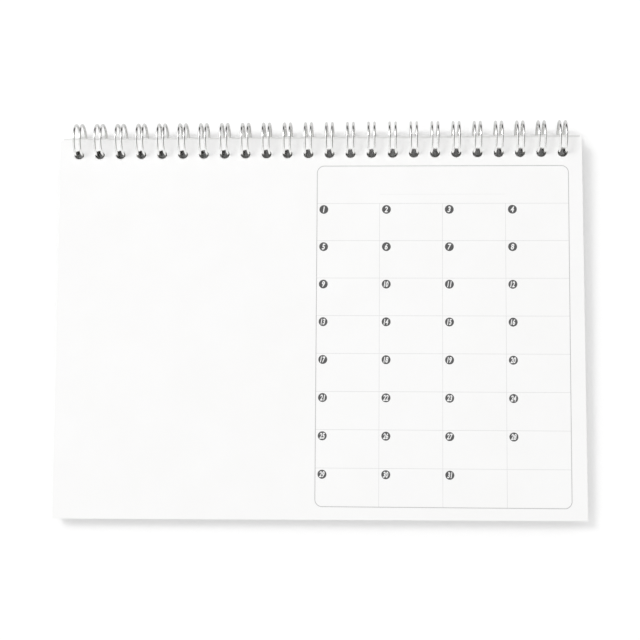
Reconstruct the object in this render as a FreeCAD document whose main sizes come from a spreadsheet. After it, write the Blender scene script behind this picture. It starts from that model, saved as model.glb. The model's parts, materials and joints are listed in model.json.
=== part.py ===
import FreeCAD, Part
import Sketcher
import math
import os

# A wire-bound calendar pad that lies face up on a surface.
# X runs along the binding, Y from the foot of the page to the binding, and Z up out of the page.
# The origin is on the surface, below the middle of the pad's bounding box.
# Lengths are in millimetres and angles in degrees.

SIZES = {
    "page_width": 210.0,
    "page_length": 151.8,
    "leaves_thickness": 4.7,
    "board_thickness": 0.8,
    "leaf_gap": 0.3,
    "leaf_fan": 1.4,
    "leaf_hang": 0.15,
    "hole_clearance": 0.3,
    "hole_margin": 6.0,
    "loop_pitch": 8.467,
    "loop_diameter": 13.5,
    "wire_diameter": 1.0,
    "wire_spacing": 2.4,
    "root_bend_radius": 1.2,
    "seam_gap_angle": 27.0,
    "seam_turn_angle": 119.0,
    "edge_clearance": 0.35,
}

# How much the material that the holes take away may differ from what it should be, as a share.
PUNCHING_TOLERANCE = 0.001

# The loops fill the width of the page, in whole pitches.
LOOP_COUNT = "floor(Sizes.page_width / Sizes.loop_pitch)"
HOLE_ROW_LENGTH = "(Sizes.loop_pitch * (" + LOOP_COUNT + " - 1))"
FIRST_HOLE_X = "(-" + HOLE_ROW_LENGTH + " / 2)"

# Each round hole takes both wires of a loop.
HOLE_DIAMETER = "(Sizes.wire_spacing + Sizes.wire_diameter + 2 * Sizes.hole_clearance)"
HOLE_ROW = "(Sizes.page_length - Sizes.hole_margin)"

# The strip of board between the holes and the bound edge lies across the inside of the loops.
LOOP_RADIUS = "(Sizes.loop_diameter / 2)"
LOOP_CENTRE_RADIUS = "((Sizes.loop_diameter - Sizes.wire_diameter) / 2)"
LOOP_INSIDE_RADIUS = "(Sizes.loop_diameter / 2 - Sizes.wire_diameter)"
HALF_STRIP = "((Sizes.hole_margin - " + HOLE_DIAMETER + " / 2) / 2)"
STRIP_DEPTH = "sqrt(pow(" + LOOP_INSIDE_RADIUS + "; 2) - pow(" + HALF_STRIP + "; 2))"
BINDING_LIFT = "(" + LOOP_RADIUS + " - " + STRIP_DEPTH + " + Sizes.edge_clearance)"

# The board lies on the surface at its foot and on the loops at its bound edge, so the pad slopes.
SLOPE = "asin(" + BINDING_LIFT + " / " + HOLE_ROW + ")"
FACE_HEIGHT = "(Sizes.board_thickness + Sizes.leaf_gap + Sizes.leaves_thickness)"


def loop_run_at(height):
    """How far along Y the wire is from the loops' axis, at a height above the board's back."""
    depth = "(" + LOOP_RADIUS + " - " + BINDING_LIFT + " - " + height + ")"
    return "sqrt(pow(" + LOOP_CENTRE_RADIUS + "; 2) - pow(" + depth + "; 2))"


# The board's holes and the front leaf's holes lie where the wire goes through them.
LOOP_REACH = loop_run_at("Sizes.board_thickness / 2")
FRONT_FOOT = "-(" + loop_run_at(FACE_HEIGHT) + " + Sizes.leaf_hang - " + LOOP_REACH + ")"
BACK_FOOT = "(" + FRONT_FOOT + " + Sizes.leaf_fan)"

# The origin is midway between the front leaf's foot and the far side of the loops.
LOOP_AXIS_RUN = "(" + HOLE_ROW + " * cos(" + SLOPE + ") + " + LOOP_REACH + ")"
FACE_FOOT_RUN = "(" + FRONT_FOOT + " * cos(" + SLOPE + ") - " + FACE_HEIGHT + " * sin(" + SLOPE + "))"
PAD_FOOT_Y = "(-(" + LOOP_AXIS_RUN + " + " + LOOP_RADIUS + " + " + FACE_FOOT_RUN + ") / 2)"
LOOP_AXIS_Y = "(" + PAD_FOOT_Y + " + " + LOOP_AXIS_RUN + ")"
ROOT_BAR_START = "(Sizes.wire_spacing / 2 + Sizes.root_bend_radius)"


def make_sizes(doc):
    """Write the driving dimensions into a sheet, one alias for each."""
    sheet = doc.addObject("Spreadsheet::Sheet", "Sizes")
    for row, (name, value) in enumerate(SIZES.items(), start=1):
        sheet.set("A%d" % row, name)
        sheet.set("B%d" % row, str(value))
        sheet.setAlias("B%d" % row, name)
    doc.recompute()
    return sheet


def make_body(doc, name):
    """Make an empty body whose label is its node's name."""
    body = doc.addObject("PartDesign::Body", name)
    body.Label = name
    return body


def origin_feature(body, role):
    """Find one of the body's own origin planes or axes by its role."""
    for feature in body.Origin.OriginFeatures:
        if feature.Role == role:
            return feature
    raise ValueError("no origin feature " + role)


def make_sketch(body, name, role):
    """Make a sketch on one of the body's own origin planes."""
    sketch = body.newObject("Sketcher::SketchObject", name)
    sketch.AttachmentSupport = [(origin_feature(body, role), "")]
    sketch.MapMode = "FlatFace"
    return sketch


def set_size(obj, path, expression):
    """Bind one property of an object to the sheet."""
    obj.setExpression(path, expression)


def fix_point(sketch, geometry, point, name, x_expression, y_expression):
    """Place a point of the sketch by its two distances from the sketch's origin."""
    for suffix, kind, expression in (
        ("_x", "DistanceX", x_expression),
        ("_y", "DistanceY", y_expression),
    ):
        index = sketch.addConstraint(Sketcher.Constraint(kind, -1, 1, geometry, point, 1.0))
        sketch.renameConstraint(index, name + suffix)
        set_size(sketch, "Constraints." + name + suffix, expression)


def add_circle(sketch, name, x_expression, y_expression, diameter_expression):
    """Draw a circle whose centre and diameter follow the sheet."""
    start = FreeCAD.Vector(1, 1, 0)
    circle = sketch.addGeometry(Part.Circle(start, FreeCAD.Vector(0, 0, 1), 1.0), False)
    index = sketch.addConstraint(Sketcher.Constraint("Diameter", circle, 2.0))
    sketch.renameConstraint(index, name + "_diameter")
    set_size(sketch, "Constraints." + name + "_diameter", diameter_expression)
    fix_point(sketch, circle, 3, name, x_expression, y_expression)


def add_outline(sketch, corners):
    """Draw a closed outline of straight lines through corners that follow the sheet."""
    start_shape = [
        FreeCAD.Vector(-1, -1, 0),
        FreeCAD.Vector(1, -1, 0),
        FreeCAD.Vector(1, 1, 0),
        FreeCAD.Vector(-1, 1, 0),
    ]
    lines = []
    for index, start in enumerate(start_shape):
        end = start_shape[(index + 1) % len(start_shape)]
        lines.append(sketch.addGeometry(Part.LineSegment(start, end), False))
    for index, line in enumerate(lines):
        following = lines[(index + 1) % len(lines)]
        sketch.addConstraint(Sketcher.Constraint("Coincident", line, 2, following, 1))
    for index, (x_expression, y_expression) in enumerate(corners):
        fix_point(sketch, lines[index], 1, "corner%d" % index, x_expression, y_expression)


def repeat_along_binding(body, originals, name):
    """Repeat features along X, once for each loop of the binding."""
    pattern = body.newObject("PartDesign::LinearPattern", name)
    pattern.Originals = originals
    pattern.Direction = (origin_feature(body, "X_Axis"), [""])
    set_size(pattern, "Occurrences", LOOP_COUNT)
    set_size(pattern, "Length", HOLE_ROW_LENGTH)
    body.Tip = pattern
    return pattern


def place_on_slope(body):
    """Stand a body's foot on the surface and tilt it up to the loops."""
    body.Placement = FreeCAD.Placement(
        FreeCAD.Vector(0, 0, 0), FreeCAD.Rotation(FreeCAD.Vector(1, 0, 0), 1)
    )
    set_size(body, "Placement.Base.y", PAD_FOOT_Y)
    set_size(body, "Placement.Rotation.Angle", SLOPE)


def make_back_board(doc):
    """The stiff board behind the leaves, with one round hole for each loop."""
    body = make_body(doc, "back_board")
    outline = make_sketch(body, "BoardOutline", "XY_Plane")
    left = "-Sizes.page_width / 2"
    right = "Sizes.page_width / 2"
    add_outline(
        outline,
        [(left, "0"), (right, "0"), (right, "Sizes.page_length"), (left, "Sizes.page_length")],
    )
    blank = body.newObject("PartDesign::Pad", "BoardBlank")
    blank.Profile = outline
    set_size(blank, "Length", "Sizes.board_thickness")

    punch = make_sketch(body, "BoardPunch", "XY_Plane")
    add_circle(punch, "hole", FIRST_HOLE_X, HOLE_ROW, HOLE_DIAMETER)
    hole = body.newObject("PartDesign::Pocket", "BoardHole")
    hole.Profile = punch
    hole.Reversed = True
    set_size(hole, "Length", "Sizes.board_thickness * 2")
    repeat_along_binding(body, [hole], "BoardHoles")
    place_on_slope(body)
    return body


def make_leaves(doc):
    """All the leaves as one block, each lower leaf a little nearer to the binding."""
    body = make_body(doc, "calendar_leaves")
    section = make_sketch(body, "LeavesSection", "YZ_Plane")
    back = "(Sizes.board_thickness + Sizes.leaf_gap)"
    add_outline(
        section,
        [
            (BACK_FOOT, back),
            ("Sizes.page_length + " + BACK_FOOT, back),
            ("Sizes.page_length + " + FRONT_FOOT, FACE_HEIGHT),
            (FRONT_FOOT, FACE_HEIGHT),
        ],
    )
    block = body.newObject("PartDesign::Pad", "LeavesBlock")
    block.Profile = section
    block.Midplane = True
    set_size(block, "Length", "Sizes.page_width")

    # The holes follow the fan of the leaves, so they are cut along its slant.
    punch = make_sketch(body, "LeavesPunch", "XY_Plane")
    punch.AttachmentOffset = FreeCAD.Placement(
        FreeCAD.Vector(0, 0, 1), FreeCAD.Rotation(0, 0, 0)
    )
    set_size(punch, "AttachmentOffset.Base.z", FACE_HEIGHT)
    add_circle(punch, "hole", FIRST_HOLE_X, HOLE_ROW + " + " + FRONT_FOOT, HOLE_DIAMETER)
    hole = body.newObject("PartDesign::Pocket", "LeavesHole")
    hole.Profile = punch
    hole.Type = "ThroughAll"
    hole.UseCustomVector = True
    hole.Direction = FreeCAD.Vector(0, 1, -1)
    set_size(hole, "Direction.y", "Sizes.leaf_fan")
    set_size(hole, "Direction.z", "-Sizes.leaves_thickness")
    repeat_along_binding(body, [hole], "LeavesHoles")
    place_on_slope(body)
    return body


def revolve_wire(body, name, sketch, axis, angle_expression, reverse):
    """Turn a wire section about one of its sketch's own axes."""
    turn = body.newObject("PartDesign::Revolution", name)
    turn.Profile = sketch
    turn.ReferenceAxis = (sketch, [axis])
    turn.Reversed = reverse
    set_size(turn, "Angle", angle_expression)
    return turn


def make_loop_arm(body, name, side):
    """One of the two rings of a loop, from the root round to the tip."""
    sketch = make_sketch(body, name + "Section", "XY_Plane")
    centre_x = "%d * Sizes.wire_spacing / 2" % side
    add_circle(sketch, "wire", centre_x, LOOP_CENTRE_RADIUS, "Sizes.wire_diameter")
    return revolve_wire(body, name, sketch, "H_Axis", "360 - Sizes.seam_gap_angle", True)


def make_loop_tip(body):
    """The hairpin that joins the two rings of a loop at its free end."""
    sketch = make_sketch(body, "TipSection", "XY_Plane")
    sketch.AttachmentOffset = FreeCAD.Placement(
        FreeCAD.Vector(0, 0, 0), FreeCAD.Rotation(FreeCAD.Vector(1, 0, 0), 1)
    )
    set_size(sketch, "AttachmentOffset.Rotation.Angle", "Sizes.seam_gap_angle")
    add_circle(
        sketch, "wire", "Sizes.wire_spacing / 2", LOOP_CENTRE_RADIUS, "Sizes.wire_diameter"
    )
    return revolve_wire(body, "Tip", sketch, "V_Axis", "180", False)


def make_root(body, name, side):
    """The bend and half bar that lead from one ring to the next loop."""
    bend_sketch = make_sketch(body, name + "BendSection", "XY_Plane")
    bend_sketch.AttachmentOffset = FreeCAD.Placement(
        FreeCAD.Vector(side, 0, 0), FreeCAD.Rotation(0, 0, 0)
    )
    set_size(bend_sketch, "AttachmentOffset.Base.x", "%d * %s" % (side, ROOT_BAR_START))
    add_circle(
        bend_sketch,
        "wire",
        "%d * Sizes.root_bend_radius" % -side,
        LOOP_CENTRE_RADIUS,
        "Sizes.wire_diameter",
    )
    bend = revolve_wire(body, name + "Bend", bend_sketch, "V_Axis", "90", side < 0)

    bar_sketch = make_sketch(body, name + "BarSection", "YZ_Plane")
    bar_sketch.AttachmentOffset = FreeCAD.Placement(
        FreeCAD.Vector(0, 0, side), FreeCAD.Rotation(0, 0, 0)
    )
    set_size(bar_sketch, "AttachmentOffset.Base.z", "%d * %s" % (side, ROOT_BAR_START))
    add_circle(
        bar_sketch, "wire", LOOP_CENTRE_RADIUS, "Sizes.root_bend_radius", "Sizes.wire_diameter"
    )
    bar = body.newObject("PartDesign::Pad", name + "Bar")
    bar.Profile = bar_sketch
    bar.Reversed = side < 0
    set_size(bar, "Length", "Sizes.loop_pitch / 2 - " + ROOT_BAR_START)
    return [bend, bar]


def make_binding_wire(doc):
    """The continuous wire comb, rolled into loops and closed under the board."""
    body = make_body(doc, "binding_wire")
    features = [
        make_loop_arm(body, "RightArm", 1),
        make_loop_tip(body),
        make_loop_arm(body, "LeftArm", -1),
    ]
    features += make_root(body, "RightRoot", 1)
    features += make_root(body, "LeftRoot", -1)
    repeat_along_binding(body, features, "Loops")

    # The body's own XY plane holds the roots, so the body is turned to bring them underneath.
    body.Placement = FreeCAD.Placement(
        FreeCAD.Vector(0, 0, 0), FreeCAD.Rotation(FreeCAD.Vector(-1, 0, 0), 1)
    )
    set_size(body, "Placement.Rotation.Angle", "Sizes.seam_turn_angle")
    set_size(body, "Placement.Base.x", FIRST_HOLE_X)
    set_size(body, "Placement.Base.y", LOOP_AXIS_Y)
    set_size(body, "Placement.Base.z", LOOP_RADIUS)
    return body


def check_document(doc, bodies):
    """Stop if any feature failed or any body is not one sound solid."""
    for obj in doc.Objects:
        if "Invalid" in obj.State or "Error" in obj.State:
            raise RuntimeError(obj.Name + " failed")
    for body in bodies:
        shape = body.Shape
        if shape.isNull() or not shape.isValid() or len(shape.Solids) != 1:
            raise RuntimeError(body.Label + " is not one sound solid")


def check_holes(doc, body, blank_name, punch_name, thickness):
    """Stop if the row of round holes took away less or more than it should."""
    diameter = doc.getObject(punch_name).getDatum("hole_diameter").Value
    one_hole = math.pi * diameter ** 2 / 4 * thickness
    expected = body.Tip.Occurrences * one_hole
    removed = doc.getObject(blank_name).Shape.Volume - body.Shape.Volume
    if abs(removed - expected) > PUNCHING_TOLERANCE * expected:
        raise RuntimeError(body.Label + " is not punched right through")


doc = FreeCAD.newDocument("wire_bound_calendar")
sheet = make_sizes(doc)
back_board = make_back_board(doc)
calendar_leaves = make_leaves(doc)
binding_wire = make_binding_wire(doc)
bodies = [back_board, calendar_leaves, binding_wire]
doc.recompute()
check_document(doc, bodies)
check_holes(doc, back_board, "BoardBlank", "BoardPunch", sheet.board_thickness)
check_holes(doc, calendar_leaves, "LeavesBlock", "LeavesPunch", sheet.leaves_thickness)

os.makedirs("parts", exist_ok=True)
for body in bodies:
    body.Shape.exportStep("parts/" + body.Label + ".step")
    box = body.Shape.BoundBox
    print(body.Label, "volume", round(body.Shape.Volume, 2))
    print("  x", round(box.XMin, 3), round(box.XMax, 3))
    print("  y", round(box.YMin, 3), round(box.YMax, 3))
    print("  z", round(box.ZMin, 3), round(box.ZMax, 3))
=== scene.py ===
import json
import math
import random

import bmesh
import bpy
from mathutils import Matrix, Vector


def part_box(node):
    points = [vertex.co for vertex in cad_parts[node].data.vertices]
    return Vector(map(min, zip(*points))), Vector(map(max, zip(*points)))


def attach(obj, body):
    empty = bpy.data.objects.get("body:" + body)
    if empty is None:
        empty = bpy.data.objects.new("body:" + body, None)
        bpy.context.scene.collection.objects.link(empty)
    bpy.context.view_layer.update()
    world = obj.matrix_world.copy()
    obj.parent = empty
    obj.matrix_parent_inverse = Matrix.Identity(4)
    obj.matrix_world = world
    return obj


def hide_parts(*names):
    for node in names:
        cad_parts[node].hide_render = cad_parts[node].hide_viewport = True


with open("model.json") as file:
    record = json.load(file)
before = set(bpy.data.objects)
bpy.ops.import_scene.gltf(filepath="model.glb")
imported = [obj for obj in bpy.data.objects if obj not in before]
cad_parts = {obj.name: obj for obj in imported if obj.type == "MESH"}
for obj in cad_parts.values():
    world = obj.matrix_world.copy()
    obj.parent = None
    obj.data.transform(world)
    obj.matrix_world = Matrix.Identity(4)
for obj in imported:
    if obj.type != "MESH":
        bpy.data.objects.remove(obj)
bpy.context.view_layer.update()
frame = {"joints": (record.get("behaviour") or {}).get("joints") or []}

# Lengths are in metres.
MM = 0.001

# Sizes of the pad, as in the part's source.
PAGE_LENGTH = 151.8 * MM
LEAVES_THICKNESS = 4.7 * MM
BOARD_THICKNESS = 0.8 * MM
LEAF_GAP = 0.3 * MM
LEAF_FAN = 1.4 * MM
HOLE_MARGIN = 6.0 * MM
HOLE_RADIUS = 2.0 * MM
LOOP_PITCH = 8.467 * MM
LOOP_COUNT = 24
LOOP_RADIUS = 6.25 * MM
WIRE_RADIUS = 0.5 * MM
WIRE_SPACING = 2.4 * MM
ROOT_BEND_RADIUS = 1.2 * MM
SEAM_GAP = math.radians(27)
ROOT_ANGLE = math.radians(-119)

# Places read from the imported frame.
BOARD_LOW, BOARD_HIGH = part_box("back_board")
LEAVES_LOW, LEAVES_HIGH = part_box("calendar_leaves")
LOOP_AXIS = Vector(frame["joints"][0]["pos_m"])
PAGE_WIDTH = BOARD_HIGH.x - BOARD_LOW.x
SLOPE = math.asin((BOARD_HIGH.z - BOARD_THICKNESS) / PAGE_LENGTH)
PAD_FOOT_Y = BOARD_LOW.y + BOARD_THICKNESS * math.sin(SLOPE)
FACE_HEIGHT = BOARD_THICKNESS + LEAF_GAP + LEAVES_THICKNESS
FACE_FOOT_DROP = LEAVES_LOW.y - PAD_FOOT_Y + FACE_HEIGHT * math.sin(SLOPE)
FRONT_FOOT = FACE_FOOT_DROP / math.cos(SLOPE)
FIRST_HOLE_X = -LOOP_PITCH * (LOOP_COUNT - 1) / 2


def on_pad(x, run, height):
    """A point of the sloping pad: x, run up from the board's foot, and height above its back."""
    y = PAD_FOOT_Y + run * math.cos(SLOPE) - height * math.sin(SLOPE)
    z = run * math.sin(SLOPE) + height * math.cos(SLOPE)
    return Vector((x, y, z))


def new_piece(name, mesh_data, materials, body):
    """Make an object from a mesh, give it its materials, and let it ride on its body."""
    for material in materials:
        mesh_data.materials.append(material)
    obj = bpy.data.objects.new(name, mesh_data)
    bpy.context.scene.collection.objects.link(obj)
    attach(obj, body)
    return obj


# Materials

def node_material(name):
    """A new node material, with its node tree and its shader."""
    material = bpy.data.materials.new(name)
    material.use_nodes = True
    tree = material.node_tree
    return material, tree, tree.nodes["Principled BSDF"]


def object_noise(tree, scale, detail, stretch=(1, 1, 1)):
    """A noise over the object's own coordinates."""
    coords = tree.nodes.new("ShaderNodeTexCoord")
    mapping = tree.nodes.new("ShaderNodeMapping")
    mapping.inputs["Scale"].default_value = stretch
    noise = tree.nodes.new("ShaderNodeTexNoise")
    noise.inputs["Scale"].default_value = scale
    noise.inputs["Detail"].default_value = detail
    tree.links.new(coords.outputs["Object"], mapping.inputs["Vector"])
    tree.links.new(mapping.outputs["Vector"], noise.inputs["Vector"])
    return noise


def vary_colour(tree, shader, noise, dark, light):
    """Blend two colours of a material by a noise."""
    ramp = tree.nodes.new("ShaderNodeValToRGB")
    ramp.color_ramp.elements[0].position = 0.35
    ramp.color_ramp.elements[0].color = (*dark, 1)
    ramp.color_ramp.elements[1].position = 0.65
    ramp.color_ramp.elements[1].color = (*light, 1)
    tree.links.new(noise.outputs["Fac"], ramp.inputs["Fac"])
    tree.links.new(ramp.outputs["Color"], shader.inputs["Base Color"])


def add_bump(tree, shader, noise, distance, strength):
    """Raise a material's surface by a noise."""
    bump = tree.nodes.new("ShaderNodeBump")
    bump.inputs["Distance"].default_value = distance
    bump.inputs["Strength"].default_value = strength
    tree.links.new(noise.outputs["Fac"], bump.inputs["Height"])
    tree.links.new(bump.outputs["Normal"], shader.inputs["Normal"])


def paper_material():
    """Smooth white writing paper with a faint fibre."""
    material, tree, shader = node_material("leaf_paper")
    shader.inputs["Roughness"].default_value = 0.62
    shader.inputs["Specular IOR Level"].default_value = 0.3
    cloud = object_noise(tree, 60, 4)
    vary_colour(tree, shader, cloud, (0.932, 0.930, 0.925), (0.943, 0.942, 0.939))
    fibre = object_noise(tree, 2600, 3, (1, 0.45, 1))
    add_bump(tree, shader, fibre, 0.00002, 0.25)
    return material


def board_material():
    """White-lined board with a coarser, slightly mottled surface."""
    material, tree, shader = node_material("board")
    shader.inputs["Roughness"].default_value = 0.7
    shader.inputs["Specular IOR Level"].default_value = 0.25
    mottle = object_noise(tree, 220, 5)
    vary_colour(tree, shader, mottle, (0.825, 0.825, 0.815), (0.85, 0.85, 0.84))
    grain = object_noise(tree, 1500, 4)
    add_bump(tree, shader, grain, 0.00005, 0.3)
    return material


def punched_edge_material():
    """The rough cut walls of the punched holes, with painted shade: dark grey for the shade down in
    the stack, though the paper there is white.
    """
    material, tree, shader = node_material("hole_wall_painted_shade")
    shader.inputs["Roughness"].default_value = 0.9
    shader.inputs["Specular IOR Level"].default_value = 0.1
    shade_grain = object_noise(tree, 1800, 4)
    # Painted shade: these dark greys stand in for the shade inside the holes, not for the paper's
    # own colour.
    vary_colour(tree, shader, shade_grain, (0.24, 0.235, 0.21), (0.36, 0.355, 0.32))
    return material


def cut_edge_material():
    """The guillotined outer edges of leaves and board, a little greyer than their faces."""
    material, tree, shader = node_material("cut_edge")
    shader.inputs["Roughness"].default_value = 0.85
    shader.inputs["Specular IOR Level"].default_value = 0.1
    grain = object_noise(tree, 900, 4)
    vary_colour(tree, shader, grain, (0.60, 0.60, 0.59), (0.72, 0.72, 0.71))
    return material


def wire_material():
    """Bright silver coated wire."""
    material, tree, shader = node_material("wire")
    shader.inputs["Metallic"].default_value = 1.0
    shader.inputs["Roughness"].default_value = 0.07
    streak = object_noise(tree, 900, 3)
    vary_colour(tree, shader, streak, (0.91, 0.91, 0.90), (0.96, 0.96, 0.95))
    add_bump(tree, shader, streak, 0.00001, 0.05)
    return material


def ink_material(name, dark, light):
    """Printed ink: an even grey, broken up a little by the paper below it."""
    material, tree, shader = node_material(name)
    shader.inputs["Roughness"].default_value = 0.5
    shader.inputs["Specular IOR Level"].default_value = 0.3
    speckle = object_noise(tree, 5000, 2)
    vary_colour(tree, shader, speckle, (dark,) * 3, (light,) * 3)
    return material


# Plates with a row of round holes

HOLE_SIDES = 24
RIM_ANGLES = [2 * math.pi * (i + 0.5) / HOLE_SIDES for i in range(HOLE_SIDES)]
RIM_TOLERANCE = 1.01
HALF_PITCH = LOOP_PITCH / 2
TINY = 1e-9

# Half the height of the band of cells, one round each hole, that runs across a plate.
BAND_HALF = 2.6 * MM


def hole_cell(centre, hole_run):
    """Faces of the cell round one hole, and the points of its lower and upper border."""
    rim = []
    border = []
    for angle in RIM_ANGLES:
        c = math.cos(angle)
        s = math.sin(angle)
        rim.append((centre + HOLE_RADIUS * c, hole_run + HOLE_RADIUS * s))
        reach = min(HALF_PITCH / max(abs(c), TINY), BAND_HALF / max(abs(s), TINY))
        border.append((centre + reach * c, hole_run + reach * s))
    corner_angle = math.atan2(BAND_HALF, HALF_PITCH)
    corners = (
        (corner_angle, 1, 1),
        (math.pi - corner_angle, -1, 1),
        (math.pi + corner_angle, -1, -1),
        (2 * math.pi - corner_angle, 1, -1),
    )
    faces = []
    for i, start in enumerate(RIM_ANGLES):
        j = (i + 1) % HOLE_SIDES
        face = [rim[i], border[i]]
        for angle, across, up in corners:
            if start < angle < start + 2 * math.pi / HOLE_SIDES:
                face.append((centre + across * HALF_PITCH, hole_run + up * BAND_HALF))
        face += [border[j], rim[j]]
        faces.append(face)
    low_points = [p for p in border if abs(p[1] - (hole_run - BAND_HALF)) < TINY]
    high_points = [p for p in border if abs(p[1] - (hole_run + BAND_HALF)) < TINY]
    return faces, sorted(low_points), sorted(high_points)


def cell_side_heights():
    """Heights, from the row's line, of the points on the upright side of a cell."""
    heights = []
    for angle in RIM_ANGLES:
        height = HALF_PITCH * math.tan(angle)
        if math.cos(angle) > 0 and abs(height) < BAND_HALF:
            heights.append(height)
    return sorted(heights)


def plate_outline(low_x, high_x, foot, top, hole_run):
    """Faces of a flat plate with the hole row, as lists of (x, run) points."""
    band_low = hole_run - BAND_HALF
    band_high = hole_run + BAND_HALF
    row_start = FIRST_HOLE_X - HALF_PITCH
    row_end = FIRST_HOLE_X + (LOOP_COUNT - 0.5) * LOOP_PITCH
    faces = []
    lower_edge = []
    upper_edge = []
    for index in range(LOOP_COUNT):
        centre = FIRST_HOLE_X + index * LOOP_PITCH
        cell_faces, low_points, high_points = hole_cell(centre, hole_run)
        faces += cell_faces
        lower_edge += [(centre - HALF_PITCH, band_low)] + low_points
        upper_edge += [(centre - HALF_PITCH, band_high)] + high_points
    lower_edge.append((row_end, band_low))
    upper_edge.append((row_end, band_high))
    left_side = [(row_start, hole_run + height) for height in cell_side_heights()]
    right_side = [(row_end, hole_run + height) for height in cell_side_heights()]
    faces.append(
        [(low_x, foot), (high_x, foot), (high_x, band_low)] + lower_edge[::-1] + [(low_x, band_low)]
    )
    faces.append(
        [(high_x, top), (low_x, top), (low_x, band_high)] + upper_edge + [(high_x, band_high)]
    )
    faces.append(
        [(low_x, band_low), (row_start, band_low)]
        + left_side
        + [(row_start, band_high), (low_x, band_high)]
    )
    faces.append(
        [(row_end, band_low), (high_x, band_low), (high_x, band_high), (row_end, band_high)]
        + right_side[::-1]
    )
    return faces


def in_hole_rim(point, hole_run):
    """Whether a point of a plate's outline lies on the rim of a hole."""
    across = (point[0] - FIRST_HOLE_X + HALF_PITCH) % LOOP_PITCH - HALF_PITCH
    return math.hypot(across, point[1] - hole_run) < HOLE_RADIUS * RIM_TOLERANCE


def add_plate(bm, faces, low, high, hole_run, slip=(0.0, 0.0)):
    """Add a closed plate to a mesh: its outline above and below, and its walls.

    The slip moves the plate up the slope, by one length at its left end and one at its right.
    The walls of the holes have the second material, and the plate's outer walls the third.
    """
    known = {}
    rim = set()
    shift = (slip[0] + slip[1]) / 2
    turn = (slip[1] - slip[0]) / PAGE_WIDTH

    def vertex(point, height):
        key = (round(point[0], 7), round(point[1], 7), height)
        if key not in known:
            x = point[0] - turn * (point[1] - hole_run)
            run = point[1] + turn * point[0] + shift
            known[key] = bm.verts.new(on_pad(x, run, height))
            if in_hole_rim(point, hole_run):
                rim.add(known[key])
        return known[key]

    edges = {}
    for face in faces:
        top = [vertex(p, high) for p in face]
        bottom = [vertex(p, low) for p in face]
        bm.faces.new(top)
        bm.faces.new(bottom[::-1])
        for i in range(len(face)):
            j = (i + 1) % len(face)
            if (top[j], top[i]) in edges:
                del edges[(top[j], top[i])]
            else:
                edges[(top[i], top[j])] = (bottom[i], bottom[j])
    for (start, end), (low_start, low_end) in edges.items():
        wall = bm.faces.new([start, low_start, low_end, end])
        in_hole = start in rim and end in rim
        wall.material_index = 1 if in_hole else 2


def finish_mesh(bm, name):
    """Turn a working mesh into mesh data with its faces pointing out."""
    bmesh.ops.recalc_face_normals(bm, faces=bm.faces)
    data = bpy.data.meshes.new(name)
    bm.to_mesh(data)
    bm.free()
    return data


LEAF_COUNT = 22

# How much of a leaf's share of the stack is paper. The rest is air.
LEAF_SHARE = 0.86

# How far leaves have slipped up the slope at their left and right ends: the front leaf and
# the next four, and then all the others, which differ a little from each other.
FRONT_SLIPS = (
    (0.0, 0.0),
    (0.50 * MM, 0.15 * MM),
    (0.45 * MM, 0.12 * MM),
    (0.40 * MM, 0.08 * MM),
    (0.35 * MM, 0.05 * MM),
)
REST_SLIP = (-0.15 * MM, -0.55 * MM)
SLIP_SPREAD = 0.02 * MM

# How far the sides of the leaves below the front one stay inside it. A turned leaf needs this
# to stay within the pad's width.
LEAST_INSET = 0.34 * MM
MOST_INSET = 0.44 * MM


def make_leaves(material, wall_materials):
    """The stack of separate leaves, fanned a little towards the binding."""
    rng = random.Random(7)
    bm = bmesh.new()
    half = PAGE_WIDTH / 2
    pitch = LEAVES_THICKNESS / LEAF_COUNT
    for depth in range(LEAF_COUNT):
        share = depth / (LEAF_COUNT - 1)
        high = FACE_HEIGHT - depth * pitch
        low = high - pitch * LEAF_SHARE
        foot = FRONT_FOOT + LEAF_FAN * share
        inset = 0.0
        slip = (0.0, 0.0)
        if depth > 0:
            inset = rng.uniform(LEAST_INSET, MOST_INSET)
            slip = tuple(end + rng.uniform(-SLIP_SPREAD, SLIP_SPREAD) for end in REST_SLIP)
        if depth < len(FRONT_SLIPS):
            slip = FRONT_SLIPS[depth]
        if depth == LEAF_COUNT - 1:
            low = FACE_HEIGHT - LEAVES_THICKNESS
        hole_run = foot + PAGE_LENGTH - HOLE_MARGIN
        own_foot = foot + max(0.0, -min(slip)) + inset
        faces = plate_outline(-half + inset, half - inset, own_foot, foot + PAGE_LENGTH, hole_run)
        add_plate(bm, faces, low, high, hole_run, slip)
    materials = [material, *wall_materials]
    leaves = new_piece("leaf_stack", finish_mesh(bm, "leaf_stack"), materials, "leaves")
    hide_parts("calendar_leaves")


# The wire

ARC_STEPS = 72
BEND_STEPS = 8
WIRE_SIDES = 14

# How far the loops lean to the left for each unit of height, and by how much more some do.
LOOP_LEAN = 0.010
LEAN_MORE = {0: -0.012, 4: 0.004, 9: -0.004, 15: 0.004, 19: -0.004, LOOP_COUNT - 1: 0.006}


def loop_point(x, angle, out=0.0, along=0.0):
    """A point of a loop at an angle about the loops' axis, with an offset along its tangent."""
    radius = LOOP_RADIUS + out
    y = LOOP_AXIS.y + radius * math.cos(angle) - along * math.sin(angle)
    z = LOOP_AXIS.z + radius * math.sin(angle) + along * math.cos(angle)
    return Vector((x, y, z))


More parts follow.
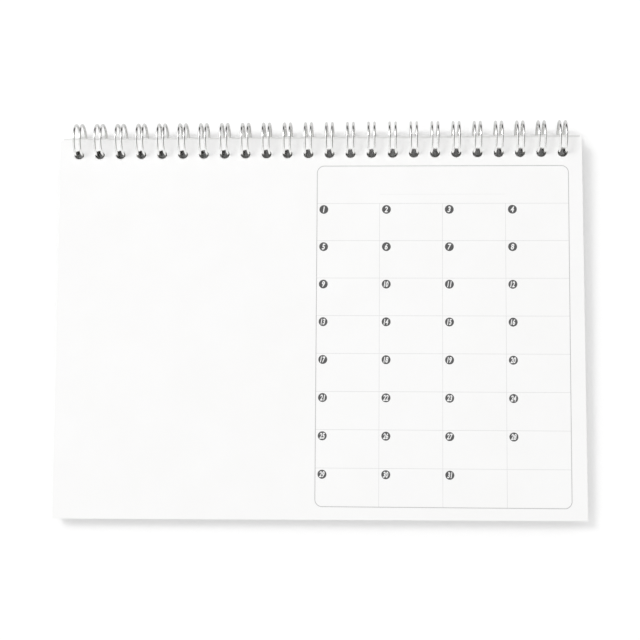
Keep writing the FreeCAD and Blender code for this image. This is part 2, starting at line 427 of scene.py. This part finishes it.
def wire_route():
    """The centre line of the whole comb, from its left end to its right end."""
    spacing = WIRE_SPACING / 2
    tip_angle = ROOT_ANGLE + SEAM_GAP
    sweep = 2 * math.pi - SEAM_GAP
    route = []
    for index in range(LOOP_COUNT):
        x = FIRST_HOLE_X + index * LOOP_PITCH
        if index == 0:
            route.append(loop_point(x - LOOP_PITCH / 2, ROOT_ANGLE, 0.0, ROOT_BEND_RADIUS))
        for step in range(BEND_STEPS + 1):
            turn = math.pi / 2 * step / BEND_STEPS
            across = spacing + ROOT_BEND_RADIUS * (1 - math.sin(turn))
            along = ROOT_BEND_RADIUS * math.cos(turn)
            route.append(loop_point(x - across, ROOT_ANGLE, 0.0, along))
        for step in range(1, ARC_STEPS + 1):
            angle = ROOT_ANGLE - sweep * step / ARC_STEPS
            route.append(loop_point(x - spacing, angle))
        for step in range(1, 2 * BEND_STEPS):
            turn = math.pi * step / (2 * BEND_STEPS)
            along = -spacing * math.sin(turn)
            route.append(loop_point(x - spacing * math.cos(turn), tip_angle, 0.0, along))
        for step in range(ARC_STEPS + 1):
            angle = tip_angle + sweep * step / ARC_STEPS
            route.append(loop_point(x + spacing, angle))
        for step in range(1, BEND_STEPS + 1):
            turn = math.pi / 2 * step / BEND_STEPS
            across = spacing + ROOT_BEND_RADIUS * (1 - math.cos(turn))
            along = ROOT_BEND_RADIUS * math.sin(turn)
            route.append(loop_point(x + across, ROOT_ANGLE, 0.0, along))
    last_x = FIRST_HOLE_X + (LOOP_COUNT - 0.5) * LOOP_PITCH
    route.append(loop_point(last_x, ROOT_ANGLE, 0.0, ROOT_BEND_RADIUS))
    return route


def lean(point):
    """Lean a point of the wire to the left, about the height of the loops' axis."""
    index = round((point.x - FIRST_HOLE_X) / LOOP_PITCH)
    share = LOOP_LEAN + LEAN_MORE.get(index, 0.0)
    return point + Vector((-share * (point.z - LOOP_AXIS.z), 0, 0))


def sweep_wire(bm, route, radius, sides):
    """Sweep a round section along a route, without twist, and close its ends."""
    tangents = []
    for i in range(len(route)):
        before = route[max(i - 1, 0)]
        after = route[min(i + 1, len(route) - 1)]
        tangents.append((after - before).normalized())
    normal = tangents[0].orthogonal().normalized()
    rings = []
    for point, tangent in zip(route, tangents):
        normal = (normal - tangent * normal.dot(tangent)).normalized()
        binormal = tangent.cross(normal)
        ring = []
        for k in range(sides):
            angle = 2 * math.pi * k / sides
            offset = normal * math.cos(angle) + binormal * math.sin(angle)
            ring.append(bm.verts.new(point + offset * radius))
        rings.append(ring)
    for first, second in zip(rings, rings[1:]):
        for k in range(sides):
            n = (k + 1) % sides
            bm.faces.new([first[k], first[n], second[n], second[k]])
    bm.faces.new(rings[0][::-1])
    bm.faces.new(rings[-1])


def make_wire(material):
    """The binding wire in its full detail."""
    bm = bmesh.new()
    route = [lean(point) for point in wire_route()]
    sweep_wire(bm, route, WIRE_RADIUS, WIRE_SIDES)
    data = finish_mesh(bm, "twin_loop_wire")
    for polygon in data.polygons:
        polygon.use_smooth = len(polygon.vertices) == 4
    wire = new_piece("twin_loop_wire", data, [material], "back")
    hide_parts("binding_wire")


def make_board(material, wall_materials):
    """The back board with its punched holes."""
    bm = bmesh.new()
    half = PAGE_WIDTH / 2
    faces = plate_outline(-half, half, 0.0, PAGE_LENGTH, PAGE_LENGTH - HOLE_MARGIN)
    add_plate(bm, faces, 0.0, BOARD_THICKNESS, PAGE_LENGTH - HOLE_MARGIN)
    materials = [material, *wall_materials]
    board = new_piece("board_sheet", finish_mesh(bm, "board_sheet"), materials, "back")
    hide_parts("back_board")


# The printed month sheet. A page point is x from the middle and run up from the front leaf's foot.

SHEET_LEFT = -0.90 * MM
COLUMN_WIDTH = 25.03 * MM
COLUMN_COUNT = 4
SHEET_TOP = 140.64 * MM
HEADER_HEIGHT = 15.21 * MM
ROW_HEIGHT = 15.06 * MM
ROW_COUNT = 8
FRAME_RADIUS = 2.8 * MM
CORNER_STEPS = 12
FRAME_LINE = 0.30 * MM
GRID_LINE = 0.16 * MM
TITLE_LINE = 0.10 * MM
TITLE_DOWN = 11.5 * MM
DISC_RADIUS = 1.76 * MM
DISC_SIDES = 40
DISC_ACROSS = 2.72 * MM
DISC_DOWN = 2.44 * MM
DAY_COUNT = 31
INK_HEIGHT = 0.010 * MM
PRINT_TURN = math.radians(-0.246)
PRINT_MIDDLE = (48 * MM, 72 * MM)
SHEET_WIDTH = COLUMN_COUNT * COLUMN_WIDTH
GRID_TOP = SHEET_TOP - HEADER_HEIGHT
SHEET_FOOT = GRID_TOP - ROW_COUNT * ROW_HEIGHT


def on_page(x, run, lift):
    """A point of the printed face, turned with the print, which is a little askew on its leaf."""
    across = x - PRINT_MIDDLE[0]
    up = run - PRINT_MIDDLE[1]
    turned_x = PRINT_MIDDLE[0] + across * math.cos(PRINT_TURN) - up * math.sin(PRINT_TURN)
    turned_run = PRINT_MIDDLE[1] + across * math.sin(PRINT_TURN) + up * math.cos(PRINT_TURN)
    return on_pad(turned_x, FRONT_FOOT + turned_run, FACE_HEIGHT + lift)


def add_slab(bm, outline, low, high):
    """Add a thin closed slab over a convex outline of page points."""
    bottom = [bm.verts.new(on_page(x, run, low)) for x, run in outline]
    top = [bm.verts.new(on_page(x, run, high)) for x, run in outline]
    bm.faces.new(top)
    bm.faces.new(bottom[::-1])
    for i in range(len(outline)):
        j = (i + 1) % len(outline)
        bm.faces.new([bottom[i], bottom[j], top[j], top[i]])


def add_bar(bm, x0, run0, x1, run1, high):
    """Add a printed bar between two corners."""
    add_slab(bm, [(x0, run0), (x1, run0), (x1, run1), (x0, run1)], 0.0, high)


def print_piece(name, bm, material):
    """Make a printed piece of the front leaf from a working mesh."""
    new_piece(name, finish_mesh(bm, name), [material], "leaves")


def rounded_corners(inset):
    """Points round the month sheet's rounded frame, moved in by an inset."""
    radius = FRAME_RADIUS - inset
    left = SHEET_LEFT + FRAME_RADIUS
    right = SHEET_LEFT + SHEET_WIDTH - FRAME_RADIUS
    foot = SHEET_FOOT + FRAME_RADIUS
    top = SHEET_TOP - FRAME_RADIUS
    points = []
    for quarter, (cx, cr) in enumerate(((right, top), (left, top), (left, foot), (right, foot))):
        for step in range(CORNER_STEPS + 1):
            angle = math.pi / 2 * (quarter + step / CORNER_STEPS)
            points.append((cx + radius * math.cos(angle), cr + radius * math.sin(angle)))
    return points


def make_frame_print(material):
    """The rounded frame round the month sheet."""
    bm = bmesh.new()
    outer = rounded_corners(-FRAME_LINE / 2)
    inner = rounded_corners(FRAME_LINE / 2)
    rings = []
    for points, lift in ((outer, 0.0), (outer, INK_HEIGHT), (inner, INK_HEIGHT), (inner, 0.0)):
        rings.append([bm.verts.new(on_page(x, run, lift)) for x, run in points])
    for first, second in zip(rings, rings[1:] + rings[:1]):
        for i in range(len(first)):
            j = (i + 1) % len(first)
            bm.faces.new([first[i], first[j], second[j], second[i]])
    print_piece("print_frame", bm, material)


def make_grid_print(material):
    """The thin lines between the cells."""
    bm = bmesh.new()
    half = GRID_LINE / 2
    clear = FRAME_LINE / 2
    left = SHEET_LEFT + clear
    right = SHEET_LEFT + SHEET_WIDTH - clear
    for row in range(ROW_COUNT):
        run = GRID_TOP - row * ROW_HEIGHT
        add_bar(bm, left, run - half, right, run + half, INK_HEIGHT)
    for column in range(1, COLUMN_COUNT):
        x = SHEET_LEFT + column * COLUMN_WIDTH
        for row in range(ROW_COUNT):
            top = GRID_TOP - row * ROW_HEIGHT - half
            foot = GRID_TOP - (row + 1) * ROW_HEIGHT + half
            if row == ROW_COUNT - 1:
                foot = SHEET_FOOT + clear
            add_bar(bm, x - half, foot, x + half, top, INK_HEIGHT)
    print_piece("print_grid", bm, material)


def make_title_line(material):
    """The pale writing line in the header."""
    bm = bmesh.new()
    run = SHEET_TOP - TITLE_DOWN
    left = SHEET_LEFT + COLUMN_WIDTH
    right = SHEET_LEFT + (COLUMN_COUNT - 1) * COLUMN_WIDTH
    add_bar(bm, left, run - TITLE_LINE / 2, right, run + TITLE_LINE / 2, INK_HEIGHT)
    print_piece("print_title_line", bm, material)


def day_centre(day):
    """The middle of a day's disc on the page."""
    row, column = divmod(day - 1, COLUMN_COUNT)
    x = SHEET_LEFT + column * COLUMN_WIDTH + DISC_ACROSS
    run = GRID_TOP - row * ROW_HEIGHT - DISC_DOWN
    return x, run


def make_day_discs(material):
    """A small dark disc in the corner of each day's cell."""
    bm = bmesh.new()
    for day in range(1, DAY_COUNT + 1):
        cx, cr = day_centre(day)
        outline = []
        for k in range(DISC_SIDES):
            angle = 2 * math.pi * k / DISC_SIDES
            outline.append((cx + DISC_RADIUS * math.cos(angle), cr + DISC_RADIUS * math.sin(angle)))
        add_slab(bm, outline, 0.0, 2 * INK_HEIGHT)
    print_piece("print_day_discs", bm, material)


DIGIT_HEIGHT = 2.35 * MM
DIGIT_SQUEEZE = 0.80
PAIR_SQUEEZE = 0.66
DIGIT_SLANT = 0.16
DIGIT_BOLDNESS = 0.03
DIGIT_RESOLUTION = 3


def number_mesh(text):
    """Points and faces of a flat number, one unit high, centred on its middle."""
    curve = bpy.data.curves.new("number", "FONT")
    curve.body = text
    curve.offset = DIGIT_BOLDNESS
    curve.resolution_u = DIGIT_RESOLUTION
    obj = bpy.data.objects.new("number", curve)
    bpy.context.scene.collection.objects.link(obj)
    bpy.context.view_layer.update()
    data = bpy.data.meshes.new_from_object(obj)
    bpy.data.objects.remove(obj)
    bpy.data.curves.remove(curve)
    xs = [v.co.x for v in data.vertices]
    ys = [v.co.y for v in data.vertices]
    height = max(ys) - min(ys)
    middle = Vector(((max(xs) + min(xs)) / 2, (max(ys) + min(ys)) / 2, 0))
    points = [(v.co - middle) / height for v in data.vertices]
    faces = [list(p.vertices) for p in data.polygons]
    bpy.data.meshes.remove(data)
    return points, faces


def make_day_numbers(material):
    """The numbers 1 to 31, in white on their discs."""
    bm = bmesh.new()
    drop = on_page(0, 0, 2 * INK_HEIGHT) - on_page(0, 0, 3 * INK_HEIGHT)
    for day in range(1, DAY_COUNT + 1):
        cx, cr = day_centre(day)
        points, faces = number_mesh(str(day))
        squeeze = DIGIT_SQUEEZE if day < 10 else PAIR_SQUEEZE
        verts = []
        for point in points:
            x = cx + (point.x * squeeze + point.y * DIGIT_SLANT) * DIGIT_HEIGHT
            run = cr + point.y * DIGIT_HEIGHT
            verts.append(bm.verts.new(on_page(x, run, 3 * INK_HEIGHT)))
        made = [bm.faces.new([verts[i] for i in face]) for face in faces]
        extruded = bmesh.ops.extrude_face_region(bm, geom=made)
        moved = [g for g in extruded["geom"] if isinstance(g, bmesh.types.BMVert)]
        bmesh.ops.translate(bm, verts=moved, vec=drop)
    print_piece("print_day_numbers", bm, material)


# The stage

FLOOR_REACH = 3.0
FLOOR_COLOUR = (0.96, 0.96, 0.96, 1)
# Painted reflection: the grey the floor shows in the wire's mirror, darker than its own white.
FLOOR_DARKENED_IN_REFLECTIONS = (0.7, 0.7, 0.7, 1)
FLOOR_GLOW = 0.07

# Strengths of the world's light: on everything, and on what metal throws back on to paper.
AMBIENT = 0.80
THROWN_BACK = 1.9

# The room that metal mirrors turns from white to dark where this much to the right, or beyond.
DARK_FROM = 0.36
DARK_FULL = 0.44
BEYOND_SHARE = 0.52
WHITE = (1, 1, 1, 1)
DARK = (0.04, 0.04, 0.04, 1)


def maths_node(tree, operation, value=None):
    """A node that does one sum, with its second number set where one is given."""
    node = tree.nodes.new("ShaderNodeMath")
    node.operation = operation
    if value is not None:
        node.inputs[1].default_value = value
    return node


def make_floor():
    """A plain white surface that shows white to the camera and still takes the shadow. In metal it
    shows darker grey, a painted reflection.
    """
    data = bpy.data.meshes.new("floor")
    corners = [(-1, -1), (1, -1), (1, 1), (-1, 1)]
    data.from_pydata([(FLOOR_REACH * x, FLOOR_REACH * y, 0) for x, y in corners], [], [(0, 1, 2, 3)])
    floor = bpy.data.objects.new("floor", data)
    bpy.context.scene.collection.objects.link(floor)
    material, tree, shader = node_material("floor")
    shader.inputs["Roughness"].default_value = 0.9
    shader.inputs["Specular IOR Level"].default_value = 0.0
    shader.inputs["Emission Color"].default_value = WHITE
    path = tree.nodes.new("ShaderNodeLightPath")
    # Painted reflection: glossy rays see the floor darker grey, so the wire mirrors a darker floor
    # than the lamps give.
    reflection_shade_tint = tree.nodes.new("ShaderNodeMix")
    reflection_shade_tint.data_type = "RGBA"
    reflection_shade_tint.inputs["A"].default_value = FLOOR_COLOUR
    reflection_shade_tint.inputs["B"].default_value = FLOOR_DARKENED_IN_REFLECTIONS
    tree.links.new(path.outputs["Is Glossy Ray"], reflection_shade_tint.inputs["Factor"])
    tree.links.new(reflection_shade_tint.outputs["Result"], shader.inputs["Base Color"])
    glow = maths_node(tree, "MULTIPLY", FLOOR_GLOW)
    tree.links.new(path.outputs["Is Camera Ray"], glow.inputs[0])
    tree.links.new(glow.outputs["Value"], shader.inputs["Emission Strength"])
    data.materials.append(material)


def background_node(tree, strength):
    """A white background of the world."""
    node = tree.nodes.new("ShaderNodeBackground")
    node.inputs["Color"].default_value = WHITE
    node.inputs["Strength"].default_value = strength
    return node.outputs["Background"]


def mirrored_room(tree):
    """The background that metal mirrors: white, with dark walls to the right and beyond."""
    coords = tree.nodes.new("ShaderNodeTexCoord")
    split = tree.nodes.new("ShaderNodeSeparateXYZ")
    beyond = maths_node(tree, "MULTIPLY", BEYOND_SHARE)
    larger = maths_node(tree, "MAXIMUM")
    ramp = tree.nodes.new("ShaderNodeValToRGB")
    ramp.color_ramp.elements[0].position = DARK_FROM
    ramp.color_ramp.elements[0].color = WHITE
    ramp.color_ramp.elements[1].position = DARK_FULL
    ramp.color_ramp.elements[1].color = DARK
    room = tree.nodes.new("ShaderNodeBackground")
    tree.links.new(coords.outputs["Generated"], split.inputs["Vector"])
    tree.links.new(split.outputs["Y"], beyond.inputs[0])
    tree.links.new(split.outputs["X"], larger.inputs[0])
    tree.links.new(beyond.outputs["Value"], larger.inputs[1])
    tree.links.new(larger.outputs["Value"], ramp.inputs["Fac"])
    tree.links.new(ramp.outputs["Color"], room.inputs["Color"])
    return room.outputs["Background"]


def mix_shaders(tree, factor, first, second):
    """The first shader where a factor is 0, and the second where it is 1."""
    mix = tree.nodes.new("ShaderNodeMixShader")
    tree.links.new(factor, mix.inputs["Fac"])
    tree.links.new(first, mix.inputs[1])
    tree.links.new(second, mix.inputs[2])
    return mix.outputs["Shader"]


def make_world():
    """Even white light that shows white to the camera and a part-dark room to metal."""
    world = bpy.data.worlds.new("studio")
    bpy.context.scene.world = world
    world.use_nodes = True
    tree = world.node_tree
    path = tree.nodes.new("ShaderNodeLightPath")
    light = tree.nodes["Background"]
    light.inputs["Color"].default_value = WHITE
    light.inputs["Strength"].default_value = AMBIENT

    # Metal that the camera sees mirrors the room. Metal that lights paper throws back plain white.
    thrown = background_node(tree, THROWN_BACK)
    metal = mix_shaders(tree, path.outputs["Diffuse Depth"], mirrored_room(tree), thrown)
    unseen = mix_shaders(tree, path.outputs["Is Glossy Ray"], light.outputs["Background"], metal)
    seen = background_node(tree, 1.0)
    surface = mix_shaders(tree, path.outputs["Is Camera Ray"], unseen, seen)
    tree.links.new(surface, tree.nodes["World Output"].inputs["Surface"])


def make_lamp(name, place, target, size, power):
    """A square soft lamp that looks at a point."""
    data = bpy.data.lights.new(name, "AREA")
    data.shape = "SQUARE"
    data.size = size
    data.energy = power
    lamp = bpy.data.objects.new(name, data)
    lamp.location = place
    lamp.rotation_euler = (Vector(target) - Vector(place)).to_track_quat("-Z", "Y").to_euler()
    bpy.context.scene.collection.objects.link(lamp)


CAMERA_PLACE = (26.84 * MM, -65.42 * MM, 558.5 * MM)
CAMERA_DEGREES = (6.681, 2.694, 0.217)
CAMERA_SENSOR = 36.0
CAMERA_LENS = 78.75


def make_camera():
    """A view nearly straight down, from about 56 cm."""
    data = bpy.data.cameras.new("camera")
    data.sensor_width = CAMERA_SENSOR
    data.lens = CAMERA_LENS
    camera = bpy.data.objects.new("camera", data)
    camera.location = CAMERA_PLACE
    camera.rotation_euler = [math.radians(angle) for angle in CAMERA_DEGREES]
    bpy.context.scene.collection.objects.link(camera)
    bpy.context.scene.camera = camera


walls = [punched_edge_material(), cut_edge_material()]
make_leaves(paper_material(), walls)
make_board(board_material(), walls)
make_wire(wire_material())
make_frame_print(ink_material("frame_ink", 0.48, 0.56))
make_grid_print(ink_material("grid_ink", 0.68, 0.75))
make_title_line(ink_material("title_ink", 0.78, 0.84))
make_day_discs(ink_material("disc_ink", 0.085, 0.105))
make_day_numbers(ink_material("number_ink", 0.90, 0.94))
make_floor()
make_world()
make_lamp("key_lamp", place=(-1.65, 1.2, 2.4), target=(0, 0, 0), size=1.1, power=30.0)
make_camera()
bpy.context.scene.view_settings.view_transform = "Standard"
